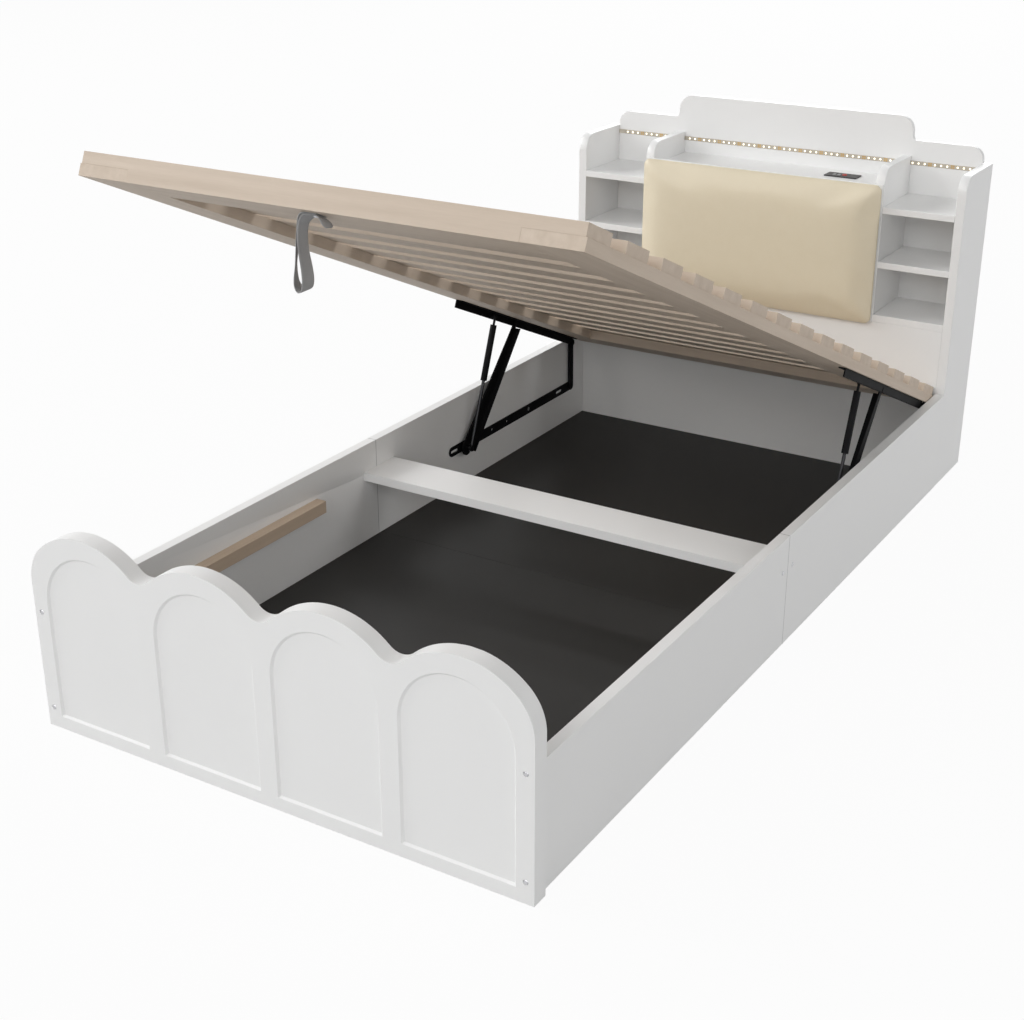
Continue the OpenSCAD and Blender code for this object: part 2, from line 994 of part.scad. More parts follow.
module link_pins() {
    color(black_steel)
        on_both_sides()
            on_platform() {
                x_pin(link_pivot, pin_diameter/2,
                      [bracket_x, link_x + steel_thickness + 0.1]);
                x_pin(link_pivot, head_radius, [bracket_x - 2, bracket_x]);
                x_pin(link_pivot, pin_diameter/2 + 2,
                      [bracket_x + steel_thickness, link_x - 0.1]);
                x_pin(link_pivot, head_radius, [link_x + steel_thickness + 0.1,
                                                link_x + steel_thickness + 1.6]);
            }
}

// The studs stop short of the gas springs' end fittings
module spring_studs() {
    color(black_steel)
        on_both_sides()
            on_platform() {
                x_pin(spring_pivot, pin_diameter/2,
                      [spring_x + 4, bracket_x + steel_thickness]);
                x_pin(spring_pivot, head_radius - 1.5, [bracket_x - 2, bracket_x]);
            }
}

// Rear link, drawn along +Y from its pivot

link_length = reach(link_top, link_foot);

module rear_link() {
    in_frame()
        along(link_top, heading(link_top, link_foot))
            difference() {
                plate(link_x, steel_thickness) {
                    translate([0, -link_width/2])
                        square([link_length, link_width]);
                    circle(d = link_width, $fn = 64);
                    translate([link_length, 0])
                        circle(d = link_width, $fn = 64);
                }
                x_pin([0, 0], pin_diameter/2 + pin_clearance,
                      [link_x - 1, link_x + steel_thickness + 1]);
                x_pin([link_length, 0], pin_diameter/2,
                      [link_x - 1, link_x + steel_thickness + 1]);
            }
}

module rear_link_right() {
    color(black_steel)
        rear_link();
}

module rear_link_left() {
    color(black_steel)
        left_side()
            rear_link();
}

// Rivets in the feet of the rear links, which ride along the base rails
module link_rivets() {
    color(black_steel)
        on_both_sides()
            in_frame() {
                x_pin(link_foot, pin_diameter/2, [link_x, link_x + steel_thickness]);
                x_pin(link_foot, head_radius, [link_x - 2, link_x]);
            }
}

// Lift arm: an angle section that widens from its pivot to its foot

arm_length = reach(arm_top, arm_foot);

module arm_outline(start, stop) {
    hull() {
        translate([start, 0])
            circle(d = arm_tip_width, $fn = 64);
        translate([stop, 0])
            circle(d = arm_foot_width, $fn = 64);
    }
}

module lift_arm() {
    flange = 15;
    flange_start = 10;
    web = steel_thickness;
    edge_angle = asin((arm_foot_width - arm_tip_width)/2/arm_length);
    in_frame()
        along(arm_top, heading(arm_top, arm_foot))
            difference() {
                union() {
                    plate(arm_x, web)
                        arm_outline(0, arm_length);
                    rotate([edge_angle, 0, 0])
                        translate([arm_x - flange, flange_start, arm_tip_width/2 - web])
                            cube([flange + web, arm_length - flange_start, web]);
                }
                x_pin([0, 0], pin_diameter/2 + pin_clearance, [arm_x - 1, arm_x + web + 1]);
                x_pin([arm_length, 0], pin_diameter/2, [arm_x - 1, arm_x + web + 1]);
            }
}

module lift_arm_right() {
    color(black_steel)
        lift_arm();
}

module lift_arm_left() {
    color(black_steel)
        left_side()
            lift_arm();
}

// Gas spring from the arm's foot up to the stud under the platform

eye_radius = 8;
eye_half = 3;
spring_length = reach(arm_foot, spring_top);
spring_heading = heading(arm_foot, spring_top);
socket_radius = 6;
tube_end = spring_length - 20;
tube_start = tube_end - cylinder_length;
gland = 8;

module rod_pins() {
    color(black_steel)
        on_both_sides()
            in_frame() {
                x_pin(arm_foot, pin_diameter/2,
                      [spring_x - eye_half - 0.4, arm_x + steel_thickness]);
                x_pin(arm_foot, head_radius, [spring_x - eye_half - 2.4,
                                              spring_x - eye_half - 0.4]);
                x_pin(arm_foot, head_radius, [arm_x + steel_thickness,
                                              arm_x + steel_thickness + 1.2]);
                x_pin(arm_foot, pin_diameter/2 + 1.5, [spring_x + eye_half + 0.4, arm_x]);
            }
}

// A bar along +Y on the spring's axis
module spring_bar(diameter, start, stop) {
    translate([spring_x, start, 0])
        rotate([-90, 0, 0])
            cylinder(d = diameter, h = stop - start);
}

module gas_rod() {
    in_frame()
        along(arm_foot, spring_heading)
            difference() {
                union() {
                    x_pin([0, 0], eye_radius, [spring_x - eye_half, spring_x + eye_half]);
                    spring_bar(rod_diameter, head_radius + 0.4, tube_start + gland + 6);
                }
                x_pin([0, 0], pin_diameter/2 + pin_clearance,
                      [spring_x - eye_half - 1, spring_x + eye_half + 1]);
            }
}

module gas_rod_right() {
    color([0.22, 0.22, 0.23])
        gas_rod();
}

module gas_rod_left() {
    color([0.22, 0.22, 0.23])
        left_side()
            gas_rod();
}

// Half section of the hollow cylinder and the neck of its end fitting
module cylinder_profile() {
    outer = cylinder_diameter/2;
    bore = rod_diameter/2 + 0.05;
    inner = outer - 1.5;
    neck_end = spring_length - socket_radius/2;
    polygon([[bore, tube_start], [outer, tube_start], [outer, tube_end], [3, tube_end],
             [3, neck_end], [0, neck_end], [0, tube_end - 6], [inner, tube_end - 6],
             [inner, tube_start + gland], [bore, tube_start + gland]]);
}

module gas_cylinder() {
    in_frame()
        along(arm_foot, spring_heading)
            union() {
                translate([spring_x, 0, 0])
                    rotate([-90, 45, 0])
                        rotate_extrude()
                            cylinder_profile();
                x_pin([spring_length, 0], socket_radius,
                      [spring_x - eye_half, spring_x + eye_half]);
            }
}

module gas_cylinder_right() {
    color(black_steel)
        gas_cylinder();
}

module gas_cylinder_left() {
    color(black_steel)
        left_side()
            gas_cylinder();
}

// Base rail on the side panel, with slots and holes for its screws

module base_rail() {
    in_frame()
        difference() {
            plate(base_rail_x, steel_thickness) {
                translate([base_rail_ends[0], base_rail_z - base_rail_width/2])
                    square([base_rail_ends[1] - base_rail_ends[0], base_rail_width]);
                for (y = base_rail_ends)
                    translate([y, base_rail_z])
                        circle(d = base_rail_width, $fn = 64);
            }
            for (y = rail_slots) {
                block([base_rail_x - 1, inner_half + 1], [y - 12, y + 12],
                      [base_rail_z - 4, base_rail_z + 4]);
                for (end = [-12, 12])
                    x_pin([y + end, base_rail_z], 4, [base_rail_x - 1, inner_half + 1]);
            }
            for (y = rail_open_holes)
                x_pin([y, base_rail_z], 4, [base_rail_x - 1, inner_half + 1]);
            for (y = rail_screw_ys)
                x_pin([y, base_rail_z], 5, [base_rail_x - 1, inner_half + 1]);
        }
}

module base_rail_right() {
    color(black_steel)
        base_rail();
}

module base_rail_left() {
    color(black_steel)
        left_side()
            base_rail();
}

// Flush screws that hold the base rails to the side panels
module base_rail_screws() {
    color(zinc)
        on_both_sides()
            in_frame()
                for (y = rail_screw_ys)
                    x_pin([y, base_rail_z], 5, [base_rail_x + 0.3, inner_half]);
}

// Pull strap: one ribbon whose two ends lie under the foot rail and whose loop hangs.
// Each station is [x, depth below the rail, direction of the width, share of the width].

strap_screw_x = -9;
strap_gap = 0.1;
upper_layer = strap_gap + strap_thickness/2;
lower_layer = upper_layer + strap_thickness + 0.3;
strap_stations = [
    [1, upper_layer, 90, 1], [-12, upper_layer, 90, 1], [-24, upper_layer + 0.35, 90, 1],
    [-33, 4.6, 91, 1], [-37.6, 11, 94, 1], [-40.6, 21, 98, 1], [-45, 37, 107, 1],
    [-50, 62, 114, 1], [-54.5, 86, 119, 1], [-58, 107, 116, 1], [-56.8, 120, 111, 1],
    [-52, 127.6, 105, 1], [-45.5, 130.6, 98, 1], [-38.6, 128.6, 91, 1],
    [-33.8, 121.6, 86, 1], [-32, 108, 83, 1], [-33.8, 88, 84, 1], [-37, 64, 86, 1],
    [-37.4, 40, 87, 1], [-35.4, 20, 88, 1], [-31.6, 10.4, 89, 1],
    [-25.4, lower_layer + 1.6, 90, 1], [-16, lower_layer + 0.1, 90, 1],
    [-5, lower_layer, 90, 1], [2, lower_layer + 1.2, 90, 1], [8, 9, 88, 1],
    [12.4, 15.5, 87, 0.86], [14.4, 19, 87, 0.5]
];
strap_steps = 3;

function station(i) = strap_stations[max(0, min(len(strap_stations) - 1, i))];
function between(a, b, c, d, t) =
    0.5*(2*b + (c - a)*t + (2*a - 5*b + 4*c - d)*t*t + (3*b - a - 3*c + d)*t*t*t);
strap_path = [
    for (i = [0:len(strap_stations) - 2], k = [0:strap_steps - 1])
        between(station(i - 1), station(i), station(i + 1), station(i + 2), k/strap_steps),
    station(len(strap_stations) - 1)
];

// The width lies along the tilted rail at the top and turns level as the strap hangs
function strap_across(p) =
    let (tilt = lift_angle*max(0, min(1, (30 - p[1])/24)))
    [cos(p[2]), sin(p[2])*cos(tilt), -sin(p[2])*sin(tilt)];

function strap_section(i) =
    let (p = strap_path[i],
         last = len(strap_path) - 1,
         ahead = strap_path[min(last, i + 1)] - strap_path[max(0, i - 1)],
         across = strap_across(p),
         normal = cross([ahead[0], 0, -ahead[1]], across),
         w = across*strap_width*p[3]/2,
         n = normal/norm(normal)*strap_thickness/2,
         c = [p[0], 0, -p[1]])
    [c + w + n, c - w + n, c - w - n, c + w - n];

module pull_strap() {
    last = len(strap_path) - 1;
    place = raised([strap_along, 0]);
    points = [for (i = [0:last]) each strap_section(i)];
    ends = [[0, 1, 2], [0, 2, 3], [4*last + 2, 4*last + 1, 4*last],
            [4*last + 3, 4*last + 2, 4*last]];
    sides = [for (i = [0:last - 1], k = [0:3], half = [0, 1])
        let (m = (k + 1) % 4)
        half == 0 ? [4*i + m, 4*i + k, 4*i + 4 + k] : [4*i + m, 4*i + 4 + k, 4*i + 4 + m]];
    color([0.60, 0.60, 0.60])
        difference() {
            in_frame()
                translate([0, place[0], place[1]])
                    polyhedron(points, concat(ends, sides));
            on_platform()
                translate([strap_screw_x, strap_along, -8])
                    cylinder(d = 3.4, h = 16, $fn = 24);
        }
}

module strap_screw() {
    color(zinc)
        on_platform()
            translate([strap_screw_x, strap_along, 0])
                mirror([0, 0, 1]) {
                    translate([0, 0, -15])
                        cylinder(d = 3, h = 15 + lower_layer + strap_thickness);
                    translate([0, 0, lower_layer + strap_thickness/2])
                        cylinder(r1 = 5, r2 = 4, h = 1.4);
                }
}

footboard();
side_panel_front_left();
side_panel_front_right();
side_panel_rear_left();
side_panel_rear_right();
cross_beam();
floor_board_front();
floor_board_rear();
ledger_left();
ledger_right();
head_wall();
headboard_side_left();
headboard_side_right();
partition_left();
partition_right();
back_panel();
upper_shelf_left();
upper_shelf_right();
middle_shelf_left();
middle_shelf_right();
bottom_shelf();
centre_shelf();
cushion();
cushion_board();
light_strip();
power_unit();
charging_port_left();
charging_port_right();
power_button();
base_rail_left();
base_rail_right();
base_rail_screws();
footboard_screws();
beam_screws();
platform_rail_left();
platform_rail_right();
foot_rail();
head_rail();
slats();
slat_screws();
lift_bracket_left();
lift_bracket_right();
arm_pins();
link_pins();
spring_studs();
pull_strap();
strap_screw();
rear_link_left();
rear_link_right();
link_rivets();
lift_arm_left();
lift_arm_right();
rod_pins();
gas_rod_left();
gas_rod_right();
gas_cylinder_left();
gas_cylinder_right();
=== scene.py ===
"""Looks of the ottoman bed: lacquered boards, wooden platform, padded panel, lift and lights."""

import json
import math

import bmesh
import bpy
import numpy as np
from mathutils import Matrix, Vector

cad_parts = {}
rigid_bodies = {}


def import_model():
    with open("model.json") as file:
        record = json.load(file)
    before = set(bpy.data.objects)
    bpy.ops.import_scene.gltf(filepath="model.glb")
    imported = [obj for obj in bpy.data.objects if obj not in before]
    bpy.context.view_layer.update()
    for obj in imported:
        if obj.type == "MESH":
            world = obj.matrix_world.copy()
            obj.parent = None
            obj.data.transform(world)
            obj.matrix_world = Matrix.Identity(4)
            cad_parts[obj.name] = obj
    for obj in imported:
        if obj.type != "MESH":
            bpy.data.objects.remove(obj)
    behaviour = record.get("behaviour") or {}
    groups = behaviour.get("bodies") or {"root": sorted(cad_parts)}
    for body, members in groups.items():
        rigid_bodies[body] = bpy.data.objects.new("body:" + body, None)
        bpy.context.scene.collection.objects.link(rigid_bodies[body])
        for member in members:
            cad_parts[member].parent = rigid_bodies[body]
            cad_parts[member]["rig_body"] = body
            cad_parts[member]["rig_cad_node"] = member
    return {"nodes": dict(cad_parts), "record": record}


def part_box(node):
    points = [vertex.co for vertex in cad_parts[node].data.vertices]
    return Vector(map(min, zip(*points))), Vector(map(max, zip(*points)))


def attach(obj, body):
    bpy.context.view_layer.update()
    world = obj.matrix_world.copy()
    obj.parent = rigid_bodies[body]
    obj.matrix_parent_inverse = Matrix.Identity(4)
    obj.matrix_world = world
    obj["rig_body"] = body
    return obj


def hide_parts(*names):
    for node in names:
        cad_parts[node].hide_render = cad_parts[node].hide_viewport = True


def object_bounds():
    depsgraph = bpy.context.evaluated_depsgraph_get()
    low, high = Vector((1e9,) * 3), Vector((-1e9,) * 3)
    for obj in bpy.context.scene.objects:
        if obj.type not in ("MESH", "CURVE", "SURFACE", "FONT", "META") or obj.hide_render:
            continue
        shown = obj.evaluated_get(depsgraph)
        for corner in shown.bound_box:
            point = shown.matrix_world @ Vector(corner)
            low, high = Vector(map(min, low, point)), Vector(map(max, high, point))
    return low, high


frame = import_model()
cad_low, cad_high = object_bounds()
CAD = frame["nodes"]
MM = 0.001

# The platform is raised by this angle, and its boards' grain lies along it
LIFT_ANGLE = math.radians(23.64)


# Shader building


class Sheet:
    """A node tree being filled: nodes are added by kind, and values or links go in by name."""

    def __init__(self, tree):
        self.tree = tree

    def add(self, kind, settings=None, **inputs):
        node = self.tree.nodes.new(kind)
        for name, value in (settings or {}).items():
            setattr(node, name, value)
        for name, value in inputs.items():
            self.put(node, name.replace("_", " "), value)
        return node

    def put(self, node, name, value):
        socket = node.inputs[int(name)] if name.isdigit() else node.inputs[name]
        if isinstance(value, bpy.types.NodeSocket):
            self.tree.links.new(value, socket)
        else:
            socket.default_value = value

    def math(self, operation, *values):
        node = self.add("ShaderNodeMath", {"operation": operation})
        for i, value in enumerate(values):
            self.put(node, str(i), value)
        return node.outputs[0]

    def blend(self, factor, low, high):
        """Mixes two colours by a factor from 0 to 1."""
        node = self.add("ShaderNodeMix", {"data_type": "RGBA"})
        for index, value in ((0, factor), (6, low), (7, high)):
            self.put(node, str(index), value)
        return node.outputs[2]

    def spread(self, value, low, high):
        """Stretches a value from 0..1 to low..high."""
        return self.add("ShaderNodeMapRange", Value=value, To_Min=low, To_Max=high).outputs[0]

    def noise(self, vector, scale, detail=3.0, roughness=0.5):
        node = self.add("ShaderNodeTexNoise", Vector=vector, Scale=scale, Detail=detail,
                        Roughness=roughness)
        return node.outputs["Fac"]

    def bump(self, height, distance, strength=1.0, normal=None):
        node = self.add("ShaderNodeBump", Height=height, Distance=distance, Strength=strength)
        if normal is not None:
            self.put(node, "Normal", normal)
        return node.outputs[0]


def effect(name, inputs, outputs):
    """Makes a shader node group with named inputs and outputs, given as {name: (kind, default)}."""
    tree = bpy.data.node_groups.new(name, "ShaderNodeTree")
    for label, (kind, default) in inputs.items():
        socket = tree.interface.new_socket(label, in_out="INPUT", socket_type="NodeSocket" + kind)
        if default is not None:
            socket.default_value = default
    for label, kind in outputs.items():
        tree.interface.new_socket(label, in_out="OUTPUT", socket_type="NodeSocket" + kind)
    sheet = Sheet(tree)
    source = tree.nodes.new("NodeGroupInput").outputs
    result = tree.nodes.new("NodeGroupOutput")
    return tree, sheet, source, result


def place(sheet, tree, **inputs):
    """Puts an effect group into a material and gives its outputs."""
    node = sheet.tree.nodes.new("ShaderNodeGroup")
    node.node_tree = tree
    for name, value in inputs.items():
        sheet.put(node, name.replace("_", " "), value)
    return node.outputs


def make_wood_grain():
    """Long streaks and fine fibres along X of the vector, in metres."""
    tree, s, source, result = effect(
        "wood_grain",
        {"Vector": ("Vector", None), "Streak Width": ("Float", 0.02), "Wander": ("Float", 0.004)},
        {"Streaks": "Float", "Fibres": "Float"},
    )
    waver = s.noise(source["Vector"], 3.0, 2.0)
    shift = s.math("MULTIPLY", s.math("SUBTRACT", waver, 0.5), source["Wander"])
    moved = s.add("ShaderNodeVectorMath", {"operation": "ADD"})
    s.put(moved, "0", source["Vector"])
    s.put(moved, "1", s.add("ShaderNodeCombineXYZ", Y=shift, Z=shift).outputs[0])
    across = s.math("DIVIDE", 1.0, source["Streak Width"])
    stretch = s.add("ShaderNodeCombineXYZ", X=s.math("MULTIPLY", across, 0.05), Y=across, Z=across)
    long_way = s.add("ShaderNodeVectorMath", {"operation": "MULTIPLY"})
    s.put(long_way, "0", moved.outputs[0])
    s.put(long_way, "1", stretch.outputs[0])
    s.put(result, "Streaks", s.noise(long_way.outputs[0], 1.0, 5.0, 0.55))
    s.put(result, "Fibres", s.noise(long_way.outputs[0], 14.0, 3.0, 0.6))
    return tree


def make_surface_unevenness():
    """Soft clouds for colour and gloss, and the fine pebbling of a coat."""
    tree, s, source, result = effect(
        "surface_unevenness",
        {"Cloud Size": ("Float", 0.25), "Pebble Size": ("Float", 0.002)},
        {"Clouds": "Float", "Pebbles": "Float"},
    )
    where = s.add("ShaderNodeTexCoord").outputs["Object"]
    clouds = s.noise(where, s.math("DIVIDE", 1.0, source["Cloud Size"]), 3.0)
    s.put(result, "Clouds", clouds)
    s.put(result, "Pebbles", s.noise(where, s.math("DIVIDE", 1.0, source["Pebble Size"]), 2.0))
    return tree


def make_hide_grain():
    """Cells and fine creases of a coated hide."""
    tree, s, source, result = effect(
        "hide_grain",
        {"Cell Size": ("Float", 0.0016)},
        {"Cells": "Float", "Creases": "Float"},
    )
    where = s.add("ShaderNodeTexCoord").outputs["Object"]
    scale = s.math("DIVIDE", 1.0, source["Cell Size"])
    warp = s.add("ShaderNodeTexNoise", Vector=where, Scale=s.math("MULTIPLY", scale, 0.6))
    moved = s.add("ShaderNodeVectorMath", {"operation": "MULTIPLY_ADD"})
    s.put(moved, "0", warp.outputs["Color"])
    s.put(moved, "1", (0.0008, 0.0008, 0.0008))
    s.put(moved, "2", where)
    cells = s.add("ShaderNodeTexVoronoi", {"feature": "DISTANCE_TO_EDGE"},
                  Vector=moved.outputs[0], Scale=scale)
    s.put(result, "Cells", s.math("MINIMUM", s.math("MULTIPLY", cells.outputs[0], 4.0), 1.0))
    s.put(result, "Creases", s.noise(where, 26.0, 4.0, 0.6))
    return tree


def make_weave():
    """Plain weave over UVs that hold metres across and along a ribbon."""
    tree, s, source, result = effect(
        "ribbon_weave",
        {"Yarn Width": ("Float", 0.0011)},
        {"Yarns": "Float", "Fuzz": "Float"},
    )
    uv = s.add("ShaderNodeUVMap").outputs[0]
    parts = s.add("ShaderNodeSeparateXYZ", Vector=uv)
    across = s.math("DIVIDE", parts.outputs[0], source["Yarn Width"])
    along = s.math("DIVIDE", parts.outputs[1], source["Yarn Width"])

    def ridge(value):
        return s.math("ABSOLUTE", s.math("SINE", s.math("MULTIPLY", value, math.pi)))

    cell = s.math("ADD", s.math("FLOOR", across), s.math("FLOOR", along))
    over = s.math("MODULO", s.math("ABSOLUTE", cell), 2.0)
    warp = s.math("MULTIPLY", ridge(across), over)
    weft = s.math("MULTIPLY", ridge(along), s.math("SUBTRACT", 1.0, over))
    s.put(result, "Yarns", s.math("ADD", warp, weft))
    s.put(result, "Fuzz", s.noise(uv, 900.0, 3.0, 0.7))
    return tree


WOOD_GRAIN = make_wood_grain()
UNEVENNESS = make_surface_unevenness()
HIDE_GRAIN = make_hide_grain()
WEAVE = make_weave()


def sees_white(s):
    """1 for the rays that see the plain white studio: from the camera, by gloss and through glass."""
    path = s.add("ShaderNodeLightPath")
    gloss_or_glass = s.math("MAXIMUM", path.outputs["Is Glossy Ray"],
                            path.outputs["Is Transmission Ray"])
    return s.math("MAXIMUM", path.outputs["Is Camera Ray"], gloss_or_glass)


def new_material(name, **constants):
    """A material with one Principled shader, whose plain values are set on its own sockets."""
    material = bpy.data.materials.new(name)
    material.use_nodes = True
    shader = material.node_tree.nodes["Principled BSDF"]
    for label, value in constants.items():
        shader.inputs[label.replace("_", " ")].default_value = value
    return material, Sheet(material.node_tree), shader


def lacquer(name, colour, rough):
    """Satin spray lacquer on smooth board."""
    material, s, shader = new_material(name, Coat_Weight=0.12, Coat_Roughness=0.2)
    uneven = place(s, UNEVENNESS, Cloud_Size=0.35, Pebble_Size=0.0035)
    shade = [0.965*c for c in colour[:3]] + [1]
    s.put(shader, "Base Color", s.blend(uneven["Clouds"], shade, colour))
    s.put(shader, "Roughness", s.spread(uneven["Clouds"], rough - 0.05, rough + 0.05))
    s.put(shader, "Normal", s.bump(uneven["Pebbles"], 0.00012, 0.35))
    return material


def seamed_lacquer(name, colour, rough, seam):
    """The same lacquer with painted shadow: a dark hairline painted across the side where its panels
    meet, standing in for the shade in the gap of the joint.
    """
    material = lacquer(name, colour, rough)
    s = Sheet(material.node_tree)
    shader = material.node_tree.nodes["Principled BSDF"]
    along = s.add("ShaderNodeSeparateXYZ",
                  Vector=s.add("ShaderNodeTexCoord").outputs["Object"]).outputs[1]
    distance = s.math("ABSOLUTE", s.math("SUBTRACT", along, seam))
    # Painted shadow of the joint's gap: up to 75 % dark grey within about 1.3 mm of the seam
    painted_gap_shadow = s.add("ShaderNodeMapRange", Value=distance, From_Min=0.4*MM, From_Max=1.3*MM,
                 To_Min=0.75, To_Max=0.0).outputs[0]
    plain = shader.inputs["Base Color"].links[0].from_socket
    s.put(shader, "Base Color", s.blend(painted_gap_shadow, plain, (0.2, 0.2, 0.2, 1)))
    return material


def laminate(name, colour):
    """Dark floor board with a matt printed face."""
    material, s, shader = new_material(name, Specular_IOR_Level=0.3)
    uneven = place(s, UNEVENNESS, Cloud_Size=0.3, Pebble_Size=0.0012)
    light = [1.5*c for c in colour[:3]] + [1]
    s.put(shader, "Base Color", s.blend(s.math("MULTIPLY", uneven["Clouds"], 0.5), colour, light))
    s.put(shader, "Roughness", s.spread(uneven["Pebbles"], 0.42, 0.6))
    s.put(shader, "Normal", s.bump(uneven["Pebbles"], 0.0001, 0.4))
    return material


def timber(name, pale, dark, direction, streak):
    """Pale planed board. The grain lies across the bed, or along it with the raised platform."""
    material, s, shader = new_material(name, Specular_IOR_Level=0.2)
    quarter_turn = 0.0 if direction == "across" else -math.pi/2
    where = s.add("ShaderNodeTexCoord").outputs["Object"]
    if direction == "raised":
        where = s.add("ShaderNodeMapping", Vector=where, Rotation=(LIFT_ANGLE, 0, 0)).outputs[0]
    where = s.add("ShaderNodeMapping", Vector=where,
                  Rotation=(0, 0, quarter_turn)).outputs[0]
    grain = place(s, WOOD_GRAIN, Vector=where, Streak_Width=streak)
    tone = s.math("ADD", s.math("MULTIPLY", grain["Streaks"], 0.75),
                  s.math("MULTIPLY", grain["Fibres"], 0.25))
    tone = s.add("ShaderNodeMapRange", Value=tone, From_Min=0.3, From_Max=0.7).outputs[0]
    s.put(shader, "Base Color", s.blend(tone, dark, pale))
    s.put(shader, "Roughness", s.spread(grain["Fibres"], 0.48, 0.62))
    s.put(shader, "Normal", s.bump(grain["Fibres"], 0.0002, 0.5))
    return material


def coated_hide(name, colour):
    """Smooth cream synthetic leather."""
    material, s, shader = new_material(name, Coat_Weight=0.1, Coat_Roughness=0.3,
                                       Sheen_Weight=0.08)
    grain = place(s, HIDE_GRAIN, Cell_Size=0.0019)
    shade = [0.93*colour[0], 0.915*colour[1], 0.88*colour[2], 1]
    tone = s.math("ADD", s.math("MULTIPLY", grain["Creases"], 0.7),
                  s.math("MULTIPLY", grain["Cells"], 0.3))
    s.put(shader, "Base Color", s.blend(tone, shade, colour))
    s.put(shader, "Roughness", s.spread(grain["Creases"], 0.4, 0.54))
    fine = s.bump(grain["Cells"], 0.00012, 0.5)
    s.put(shader, "Normal", s.bump(grain["Creases"], 0.0012, 0.25, fine))
    return material


def powder_coat(name, colour, rough):
    """Black powder coat on steel, with the fine grain of the powder."""
    material, s, shader = new_material(name, Specular_IOR_Level=0.03)
    uneven = place(s, UNEVENNESS, Cloud_Size=0.06, Pebble_Size=0.0009)
    light = [1.8*c for c in colour[:3]] + [1]
    s.put(shader, "Base Color", s.blend(s.math("MULTIPLY", uneven["Clouds"], 0.6), colour, light))
    s.put(shader, "Roughness", s.spread(uneven["Clouds"], rough - 0.07, rough + 0.07))
    s.put(shader, "Normal", s.bump(uneven["Pebbles"], 0.00012, 0.5))
    return material


def bare_metal(name, colour, rough, turned):
    """Plated or ground metal, with faint marks."""
    material, s, shader = new_material(name, Metallic=1.0)
    uneven = place(s, UNEVENNESS, Cloud_Size=0.02, Pebble_Size=turned)
    s.put(shader, "Base Color", s.blend(uneven["Clouds"], [0.8*c for c in colour[:3]] + [1], colour))
    s.put(shader, "Roughness", s.spread(uneven["Pebbles"], rough - 0.08, rough + 0.1))
    s.put(shader, "Normal", s.bump(uneven["Pebbles"], 0.00003, 0.4))
    return material


def moulded(name, colour, rough):
    """Moulded plastic with a spark-eroded surface."""
    material, s, shader = new_material(name)
    uneven = place(s, UNEVENNESS, Cloud_Size=0.03, Pebble_Size=0.0005)
    s.put(shader, "Base Color", s.blend(uneven["Clouds"], [0.8*c for c in colour[:3]] + [1], colour))
    s.put(shader, "Roughness", s.spread(uneven["Pebbles"], rough - 0.06, rough + 0.06))
    s.put(shader, "Normal", s.bump(uneven["Pebbles"], 0.00004, 0.5))
    return material


def webbing(name, pale, dark):
    """Grey woven ribbon."""
    material, s, shader = new_material(name, Sheen_Weight=0.25, Sheen_Roughness=0.4)
    weave = place(s, WEAVE, Yarn_Width=0.0012)
    tone = s.math("MULTIPLY", weave["Yarns"], s.spread(weave["Fuzz"], 0.7, 1.1))
    s.put(shader, "Base Color", s.blend(tone, dark, pale))
    s.put(shader, "Roughness", s.spread(weave["Fuzz"], 0.7, 0.95))
    s.put(shader, "Normal", s.bump(weave["Yarns"], 0.0003, 0.8))
    return material


def strip_tape(name):
    """White flexible tape with a fine ridge pattern."""
    material, s, shader = new_material(name, Coat_Weight=0.2)
    uneven = place(s, UNEVENNESS, Cloud_Size=0.015, Pebble_Size=0.0012)
    s.put(shader, "Base Color",
          s.blend(uneven["Clouds"], (0.46, 0.41, 0.33, 1), (0.62, 0.57, 0.48, 1)))
    s.put(shader, "Roughness", s.spread(uneven["Pebbles"], 0.35, 0.5))
    s.put(shader, "Normal", s.bump(uneven["Pebbles"], 0.0001, 0.4))
    return material


def lamp_glass(name):
    """Lit lamp body: bright warm white, a little yellower in random patches."""
    material, s, shader = new_material(name, Roughness=0.3, Emission_Strength=1.6)
    uneven = place(s, UNEVENNESS, Cloud_Size=0.002, Pebble_Size=0.0006)
    s.put(shader, "Base Color", s.blend(uneven["Clouds"], (0.9, 0.84, 0.66, 1), (0.95, 0.93, 0.85, 1)))
    s.put(shader, "Emission Color",
          s.blend(uneven["Clouds"], (1.0, 0.86, 0.6, 1), (1.0, 0.95, 0.82, 1)))
    return material


WHITE_LACQUER = lacquer("white_lacquer", (0.88, 0.88, 0.875, 1), 0.38)
# Lacquer for the side panels, with a painted shadow line where the front and rear panels meet
SIDE_LACQUER_WITH_PAINTED_SEAM_SHADOW = seamed_lacquer("side_lacquer_painted_seam_shadow", (0.88, 0.88, 0.875, 1), 0.38,
                              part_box("side_panel_front_right")[1].y)
CHARCOAL = laminate("charcoal_laminate", (0.018, 0.017, 0.016, 1))
TAN_STRIP = timber("tan_timber", (0.66, 0.53, 0.41, 1), (0.56, 0.44, 0.33, 1), "along", 0.012)
SLAT_TIMBER = timber("slat_timber", (0.68, 0.577, 0.478, 1), (0.577, 0.478, 0.384, 1), "across", 0.02)
RAIL_TIMBER = timber("rail_timber", (0.68, 0.577, 0.478, 1), (0.577, 0.478, 0.384, 1), "raised", 0.02)
CREAM_HIDE = coated_hide("cream_hide", (0.78, 0.70, 0.54, 1))
BLACK_COAT = powder_coat("black_coat", (0.006, 0.006, 0.0065, 1), 0.5)
SPRING_PAINT = powder_coat("spring_paint", (0.012, 0.012, 0.013, 1), 0.32)
ROD_STEEL = bare_metal("rod_steel", (0.035, 0.035, 0.037, 1), 0.3, 0.0008)
ZINC = bare_metal("zinc_plate", (0.62, 0.62, 0.64, 1), 0.32, 0.0006)
